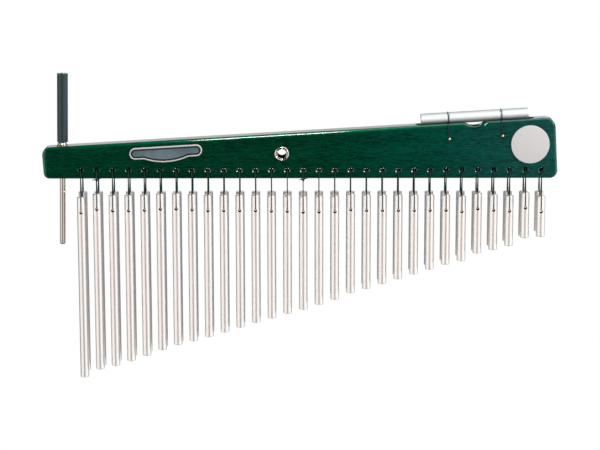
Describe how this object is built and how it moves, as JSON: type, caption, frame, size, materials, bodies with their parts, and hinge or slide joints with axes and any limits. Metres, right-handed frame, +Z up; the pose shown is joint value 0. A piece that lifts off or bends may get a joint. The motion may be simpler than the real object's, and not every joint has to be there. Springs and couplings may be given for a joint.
{
  "type": "bar chime",
  "caption": "Tapered stained wooden bar with two hanging rows of graduated metal rods on cord loops, a beater standing in one end, a struck tone bar on top and a ferrule for a stand rod.",
  "frame": {"origin": "middle of the stand ferrule's bore, half way through the bar", "axes": "+X along the bar to its treble end, +Y to the rear along the bore, +Z up"},
  "size_m": [0.5674, 0.0336, 0.3415],
  "materials": {
    "stained_wood": "green stain under gloss lacquer",
    "satin_aluminium": "satin, turned",
    "chrome": "bright plated",
    "polished_steel": "polished, drawn along its length",
    "brass": "bright",
    "rubber": "matt, dark slate",
    "cord": "braided black cord",
    "slate_paint": "satin slate grey, bare",
    "silver_paint": "satin silver white, bare"
  },
  "bodies": {
    "bar": {"wooden_bar": "stained_wood", "stand_ferrule": "chrome", "beater_ferrule": "chrome", "tone_bar": "satin_aluminium", "tone_cord_bass": "cord", "tone_cord_treble": "cord", "cord_pin_front_bass": "brass", "cord_pin_rear_bass": "brass", "cord_pin_front_treble": "brass", "cord_pin_rear_treble": "brass", "name_plate": "chrome", "name_plate_inlay": "slate_paint", "badge": "silver_paint"},
    "beater": {"beater_rod": "polished_steel", "beater_grip": "rubber"},
    "chime_front_01": {"chime_front_01": "satin_aluminium"},
    "chime_front_02": {"chime_front_02": "satin_aluminium"},
    "chime_front_03": {"chime_front_03": "satin_aluminium"},
    "chime_front_04": {"chime_front_04": "satin_aluminium"},
    "chime_front_05": {"chime_front_05": "satin_aluminium"},
    "chime_front_06": {"chime_front_06": "satin_aluminium"},
    "chime_front_07": {"chime_front_07": "satin_aluminium"},
    "chime_front_08": {"chime_front_08": "satin_aluminium"},
    "chime_front_09": {"chime_front_09": "satin_aluminium"},
    "chime_front_10": {"chime_front_10": "satin_aluminium"},
    "chime_front_11": {"chime_front_11": "satin_aluminium"},
    "chime_front_12": {"chime_front_12": "satin_aluminium"},
    "chime_front_13": {"chime_front_13": "satin_aluminium"},
    "chime_front_14": {"chime_front_14": "satin_aluminium"},
    "chime_front_15": {"chime_front_15": "satin_aluminium"},
    "chime_front_16": {"chime_front_16": "satin_aluminium"},
    "chime_front_17": {"chime_front_17": "satin_aluminium"},
    "chime_front_18": {"chime_front_18": "satin_aluminium"},
    "chime_front_19": {"chime_front_19": "satin_aluminium"},
    "chime_front_20": {"chime_front_20": "satin_aluminium"},
    "chime_front_21": {"chime_front_21": "satin_aluminium"},
    "chime_front_22": {"chime_front_22": "satin_aluminium"},
    "chime_front_23": {"chime_front_23": "satin_aluminium"},
    "chime_front_24": {"chime_front_24": "satin_aluminium"},
    "chime_front_25": {"chime_front_25": "satin_aluminium"},
    "chime_front_26": {"chime_front_26": "satin_aluminium"},
    "chime_front_27": {"chime_front_27": "satin_aluminium"},
    "chime_front_28": {"chime_front_28": "satin_aluminium"},
    "chime_front_29": {"chime_front_29": "satin_aluminium"},
    "chime_front_30": {"chime_front_30": "satin_aluminium"},
    "chimes_rear_01_02": {"chimes_rear_01_02": "satin_aluminium"},
    "chimes_rear_03_04": {"chimes_rear_03_04": "satin_aluminium"},
    "chimes_rear_05_06": {"chimes_rear_05_06": "satin_aluminium"},
    "chimes_rear_07_08": {"chimes_rear_07_08": "satin_aluminium"},
    "chimes_rear_09_10": {"chimes_rear_09_10": "satin_aluminium"},
    "chimes_rear_11_12": {"chimes_rear_11_12": "satin_aluminium"},
    "chimes_rear_13_14": {"chimes_rear_13_14": "satin_aluminium"},
    "chimes_rear_15_16": {"chimes_rear_15_16": "satin_aluminium"},
    "chimes_rear_17_18": {"chimes_rear_17_18": "satin_aluminium"},
    "chimes_rear_19_20": {"chimes_rear_19_20": "satin_aluminium"},
    "chimes_rear_21_22": {"chimes_rear_21_22": "satin_aluminium"},
    "chimes_rear_23_24": {"chimes_rear_23_24": "satin_aluminium"},
    "chimes_rear_25_26": {"chimes_rear_25_26": "satin_aluminium"},
    "chimes_rear_27_28": {"chimes_rear_27_28": "satin_aluminium"},
    "chimes_rear_29_30": {"chimes_rear_29_30": "satin_aluminium"}
  },
  "joints": [
    {"name": "beater_lift", "type": "slide", "parent": "bar", "child": "beater", "axis": [0.0209, 0, 0.9998], "range_m": [0, 0.12]},
    {"name": "chime_front_01_swing", "type": "hinge", "parent": "bar", "child": "chime_front_01", "pos_m": [-0.2216, -0.0108, -0.0196], "axis": [-1, 0, 0], "range_deg": [0, 45]},
    {"name": "chime_front_02_swing", "type": "hinge", "parent": "bar", "child": "chime_front_02", "pos_m": [-0.2041, -0.0108, -0.0196], "axis": [-1, 0, 0], "range_deg": [0, 45]},
    {"name": "chime_front_03_swing", "type": "hinge", "parent": "bar", "child": "chime_front_03", "pos_m": [-0.1866, -0.0108, -0.0196], "axis": [-1, 0, 0], "range_deg": [0, 45]},
    {"name": "chime_front_04_swing", "type": "hinge", "parent": "bar", "child": "chime_front_04", "pos_m": [-0.1691, -0.0108, -0.0196], "axis": [-1, 0, 0], "range_deg": [0, 45]},
    {"name": "chime_front_05_swing", "type": "hinge", "parent": "bar", "child": "chime_front_05", "pos_m": [-0.1516, -0.0108, -0.0196], "axis": [-1, 0, 0], "range_deg": [0, 45]},
    {"name": "chime_front_06_swing", "type": "hinge", "parent": "bar", "child": "chime_front_06", "pos_m": [-0.1341, -0.0108, -0.0196], "axis": [-1, 0, 0], "range_deg": [0, 45]},
    {"name": "chime_front_07_swing", "type": "hinge", "parent": "bar", "child": "chime_front_07", "pos_m": [-0.1166, -0.0108, -0.0196], "axis": [-1, 0, 0], "range_deg": [0, 45]},
    {"name": "chime_front_08_swing", "type": "hinge", "parent": "bar", "child": "chime_front_08", "pos_m": [-0.0991, -0.0108, -0.0196], "axis": [-1, 0, 0], "range_deg": [0, 45]},
    {"name": "chime_front_09_swing", "type": "hinge", "parent": "bar", "child": "chime_front_09", "pos_m": [-0.0816, -0.0108, -0.0196], "axis": [-1, 0, 0], "range_deg": [0, 45]},
    {"name": "chime_front_10_swing", "type": "hinge", "parent": "bar", "child": "chime_front_10", "pos_m": [-0.0641, -0.0108, -0.0196], "axis": [-1, 0, 0], "range_deg": [0, 45]},
    {"name": "chime_front_11_swing", "type": "hinge", "parent": "bar", "child": "chime_front_11", "pos_m": [-0.0466, -0.0108, -0.0196], "axis": [-1, 0, 0], "range_deg": [0, 45]},
    {"name": "chime_front_12_swing", "type": "hinge", "parent": "bar", "child": "chime_front_12", "pos_m": [-0.0291, -0.0108, -0.0196], "axis": [-1, 0, 0], "range_deg": [0, 45]},
    {"name": "chime_front_13_swing", "type": "hinge", "parent": "bar", "child": "chime_front_13", "pos_m": [-0.0116, -0.0108, -0.0196], "axis": [-1, 0, 0], "range_deg": [0, 45]},
    {"name": "chime_front_14_swing", "type": "hinge", "parent": "bar", "child": "chime_front_14", "pos_m": [0.0059, -0.0108, -0.0196], "axis": [-1, 0, 0], "range_deg": [0, 45]},
    {"name": "chime_front_15_swing", "type": "hinge", "parent": "bar", "child": "chime_front_15", "pos_m": [0.0234, -0.0108, -0.0196], "axis": [-1, 0, 0], "range_deg": [0, 45]},
    {"name": "chime_front_16_swing", "type": "hinge", "parent": "bar", "child": "chime_front_16", "pos_m": [0.0409, -0.0108, -0.0196], "axis": [-1, 0, 0], "range_deg": [0, 45]},
    {"name": "chime_front_17_swing", "type": "hinge", "parent": "bar", "child": "chime_front_17", "pos_m": [0.0584, -0.0108, -0.0196], "axis": [-1, 0, 0], "range_deg": [0, 45]},
    {"name": "chime_front_18_swing", "type": "hinge", "parent": "bar", "child": "chime_front_18", "pos_m": [0.0759, -0.0108, -0.0196], "axis": [-1, 0, 0], "range_deg": [0, 45]},
    {"name": "chime_front_19_swing", "type": "hinge", "parent": "bar", "child": "chime_front_19", "pos_m": [0.0934, -0.0108, -0.0196], "axis": [-1, 0, 0], "range_deg": [0, 45]},
    {"name": "chime_front_20_swing", "type": "hinge", "parent": "bar", "child": "chime_front_20", "pos_m": [0.1109, -0.0108, -0.0196], "axis": [-1, 0, 0], "range_deg": [0, 45]},
    {"name": "chime_front_21_swing", "type": "hinge", "parent": "bar", "child": "chime_front_21", "pos_m": [0.1284, -0.0108, -0.0196], "axis": [-1, 0, 0], "range_deg": [0, 45]},
    {"name": "chime_front_22_swing", "type": "hinge", "parent": "bar", "child": "chime_front_22", "pos_m": [0.1459, -0.0108, -0.0196], "axis": [-1, 0, 0], "range_deg": [0, 45]},
    {"name": "chime_front_23_swing", "type": "hinge", "parent": "bar", "child": "chime_front_23", "pos_m": [0.1634, -0.0108, -0.0196], "axis": [-1, 0, 0], "range_deg": [0, 45]},
    {"name": "chime_front_24_swing", "type": "hinge", "parent": "bar", "child": "chime_front_24", "pos_m": [0.1809, -0.0108, -0.0196], "axis": [-1, 0, 0], "range_deg": [0, 45]},
    {"name": "chime_front_25_swing", "type": "hinge", "parent": "bar", "child": "chime_front_25", "pos_m": [0.1984, -0.0108, -0.0196], "axis": [-1, 0, 0], "range_deg": [0, 45]},
    {"name": "chime_front_26_swing", "type": "hinge", "parent": "bar", "child": "chime_front_26", "pos_m": [0.2159, -0.0108, -0.0196], "axis": [-1, 0, 0], "range_deg": [0, 45]},
    {"name": "chime_front_27_swing", "type": "hinge", "parent": "bar", "child": "chime_front_27", "pos_m": [0.2334, -0.0108, -0.0196], "axis": [-1, 0, 0], "range_deg": [0, 45]},
    {"name": "chime_front_28_swing", "type": "hinge", "parent": "bar", "child": "chime_front_28", "pos_m": [0.2509, -0.0108, -0.0196], "axis": [-1, 0, 0], "range_deg": [0, 45]},
    {"name": "chime_front_29_swing", "type": "hinge", "parent": "bar", "child": "chime_front_29", "pos_m": [0.2684, -0.0108, -0.0196], "axis": [-1, 0, 0], "range_deg": [0, 45]},
    {"name": "chime_front_30_swing", "type": "hinge", "parent": "bar", "child": "chime_front_30", "pos_m": [0.2859, -0.0108, -0.0196], "axis": [-1, 0, 0], "range_deg": [0, 45]},
    {"name": "chimes_rear_01_02_swing", "type": "hinge", "parent": "bar", "child": "chimes_rear_01_02", "pos_m": [-0.21285, 0.0108, -0.0196], "axis": [1, 0, 0], "range_deg": [0, 45]},
    {"name": "chimes_rear_03_04_swing", "type": "hinge", "parent": "bar", "child": "chimes_rear_03_04", "pos_m": [-0.17785, 0.0108, -0.0196], "axis": [1, 0, 0], "range_deg": [0, 45]},
    {"name": "chimes_rear_05_06_swing", "type": "hinge", "parent": "bar", "child": "chimes_rear_05_06", "pos_m": [-0.14285, 0.0108, -0.0196], "axis": [1, 0, 0], "range_deg": [0, 45]},
    {"name": "chimes_rear_07_08_swing", "type": "hinge", "parent": "bar", "child": "chimes_rear_07_08", "pos_m": [-0.10785, 0.0108, -0.0196], "axis": [1, 0, 0], "range_deg": [0, 45]},
    {"name": "chimes_rear_09_10_swing", "type": "hinge", "parent": "bar", "child": "chimes_rear_09_10", "pos_m": [-0.07285, 0.0108, -0.0196], "axis": [1, 0, 0], "range_deg": [0, 45]},
    {"name": "chimes_rear_11_12_swing", "type": "hinge", "parent": "bar", "child": "chimes_rear_11_12", "pos_m": [-0.03785, 0.0108, -0.0196], "axis": [1, 0, 0], "range_deg": [0, 45]},
    {"name": "chimes_rear_13_14_swing", "type": "hinge", "parent": "bar", "child": "chimes_rear_13_14", "pos_m": [-0.00285, 0.0108, -0.0196], "axis": [1, 0, 0], "range_deg": [0, 45]},
    {"name": "chimes_rear_15_16_swing", "type": "hinge", "parent": "bar", "child": "chimes_rear_15_16", "pos_m": [0.03215, 0.0108, -0.0196], "axis": [1, 0, 0], "range_deg": [0, 45]},
    {"name": "chimes_rear_17_18_swing", "type": "hinge", "parent": "bar", "child": "chimes_rear_17_18", "pos_m": [0.06715, 0.0108, -0.0196], "axis": [1, 0, 0], "range_deg": [0, 45]},
    {"name": "chimes_rear_19_20_swing", "type": "hinge", "parent": "bar", "child": "chimes_rear_19_20", "pos_m": [0.10215, 0.0108, -0.0196], "axis": [1, 0, 0], "range_deg": [0, 45]},
    {"name": "chimes_rear_21_22_swing", "type": "hinge", "parent": "bar", "child": "chimes_rear_21_22", "pos_m": [0.13715, 0.0108, -0.0196], "axis": [1, 0, 0], "range_deg": [0, 45]},
    {"name": "chimes_rear_23_24_swing", "type": "hinge", "parent": "bar", "child": "chimes_rear_23_24", "pos_m": [0.17215, 0.0108, -0.0196], "axis": [1, 0, 0], "range_deg": [0, 45]},
    {"name": "chimes_rear_25_26_swing", "type": "hinge", "parent": "bar", "child": "chimes_rear_25_26", "pos_m": [0.20715, 0.0108, -0.0196], "axis": [1, 0, 0], "range_deg": [0, 45]},
    {"name": "chimes_rear_27_28_swing", "type": "hinge", "parent": "bar", "child": "chimes_rear_27_28", "pos_m": [0.24215, 0.0108, -0.0196], "axis": [1, 0, 0], "range_deg": [0, 45]},
    {"name": "chimes_rear_29_30_swing", "type": "hinge", "parent": "bar", "child": "chimes_rear_29_30", "pos_m": [0.27715, 0.0108, -0.0196], "axis": [1, 0, 0], "range_deg": [0, 45]}
  ]
}
